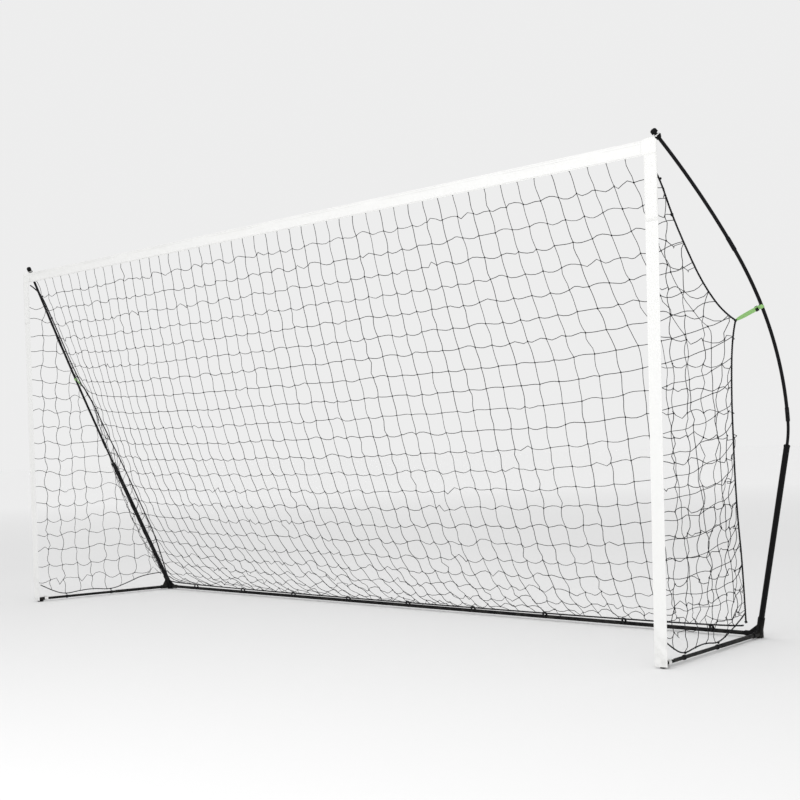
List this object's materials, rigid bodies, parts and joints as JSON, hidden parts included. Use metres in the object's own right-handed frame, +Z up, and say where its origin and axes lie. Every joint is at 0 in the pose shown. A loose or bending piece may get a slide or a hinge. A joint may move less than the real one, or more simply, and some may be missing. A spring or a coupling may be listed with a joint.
{
  "type": "pop up football goal",
  "caption": "Pop up football goal: white webbing mouth held taut by bowed poles on a flat black base, with a knotted net and green elastic net straps.",
  "frame": {"origin": "on the ground, in the middle of the whole goal", "axes": "+X to the right along the mouth, seen from in front; +Y back into the goal; +Z up"},
  "size_m": [5.3024, 0.9827, 2.1778],
  "materials": {
    "base_steel": "satin",
    "plated_steel": "satin",
    "ferrule_steel": "satin",
    "fibreglass": "satin",
    "black_plastic": "matte",
    "shock_cord": "matte",
    "white_webbing": "matte",
    "net_twine": "matte",
    "black_rope": "matte",
    "tie_tape": "matte",
    "green_elastic": "matte"
  },
  "bodies": {
    "base": {"rear_bar_left_outer": "base_steel", "rear_bar_left_inner": "base_steel", "rear_bar_right_inner": "base_steel", "rear_bar_right_outer": "base_steel", "side_bar_rear_left": "base_steel", "side_bar_rear_right": "base_steel", "side_bar_front_left": "base_steel", "side_bar_front_right": "base_steel", "corner_bracket_left": "base_steel", "corner_bracket_right": "base_steel", "lower_tube_left": "base_steel", "lower_tube_right": "base_steel", "rear_bar_sleeves": "plated_steel", "spigot_left": "fibreglass", "spigot_right": "fibreglass", "foot_cap_left": "black_plastic", "foot_cap_right": "black_plastic", "tube_bush_left": "black_plastic", "tube_bush_right": "black_plastic", "spigot_seat_left": "black_plastic", "spigot_seat_right": "black_plastic", "rear_bar_shock_cord": "shock_cord", "rear_net_upper": "net_twine", "rear_net_lower": "net_twine", "side_net_left": "net_twine", "side_net_right": "net_twine", "edge_rope_left": "black_rope", "edge_rope_right": "black_rope", "side_hem_cord_left": "black_rope", "side_hem_cord_right": "black_rope", "rear_hem_rope": "black_rope", "side_ties_left": "tie_tape", "side_ties_right": "tie_tape", "rear_ties": "tie_tape"},
    "front_frame": {"post_webbing_left": "white_webbing", "post_webbing_right": "white_webbing", "corner_patch_left": "white_webbing", "corner_patch_right": "white_webbing", "corner_loop_left": "white_webbing", "corner_loop_right": "white_webbing", "foot_loop_left": "white_webbing", "foot_loop_right": "white_webbing", "crossbar_webbing": "white_webbing"},
    "lower_bow_left": {"lower_ferrule_left": "ferrule_steel", "lower_rod_left": "fibreglass", "elastic_strap_left": "green_elastic", "strap_buckle_left": "black_plastic"},
    "upper_bow_left": {"upper_ferrule_left": "ferrule_steel", "upper_rod_left": "fibreglass", "tip_collar_left": "black_plastic", "tip_cap_left": "black_plastic"},
    "lower_bow_right": {"lower_ferrule_right": "ferrule_steel", "lower_rod_right": "fibreglass", "elastic_strap_right": "green_elastic", "strap_buckle_right": "black_plastic"},
    "upper_bow_right": {"upper_ferrule_right": "ferrule_steel", "upper_rod_right": "fibreglass", "tip_collar_right": "black_plastic", "tip_cap_right": "black_plastic"}
  },
  "joints": [
    {"name": "front_frame_rock", "type": "hinge", "parent": "base", "child": "front_frame", "pos_m": [0, -0.4586, 0.016], "axis": [1, 0, 0], "range_deg": [-0.8, 0.8], "stiffness_Nm_per_rad": 2500},
    {"name": "lower_bow_flex_left", "type": "hinge", "parent": "base", "child": "lower_bow_left", "pos_m": [-2.6133, 0.20498, 0.97735], "axis": [0.6531, 0.6958, 0.2987], "range_deg": [-4.5, 4.5]},
    {"name": "upper_bow_flex_left", "type": "hinge", "parent": "lower_bow_left", "child": "upper_bow_left", "pos_m": [-2.59967, -0.14346, 1.6864], "axis": [0.4617, 0.7996, 0.3841], "range_deg": [-9.2, 9.2]},
    {"name": "lower_bow_flex_right", "type": "hinge", "parent": "base", "child": "lower_bow_right", "pos_m": [2.6133, 0.20498, 0.97735], "axis": [0.6531, -0.6958, -0.2987], "range_deg": [-4.5, 4.5]},
    {"name": "upper_bow_flex_right", "type": "hinge", "parent": "lower_bow_right", "child": "upper_bow_right", "pos_m": [2.59967, -0.14346, 1.6864], "axis": [0.4617, -0.7996, -0.3841], "range_deg": [-9.2, 9.2]}
  ],
  "couplings": [
    {"joint": "lower_bow_flex_left", "follows": "front_frame_rock", "ratio": 5.4101},
    {"joint": "upper_bow_flex_left", "follows": "front_frame_rock", "ratio": -11.144},
    {"joint": "lower_bow_flex_right", "follows": "front_frame_rock", "ratio": 5.4101},
    {"joint": "upper_bow_flex_right", "follows": "front_frame_rock", "ratio": -11.144}
  ]
}
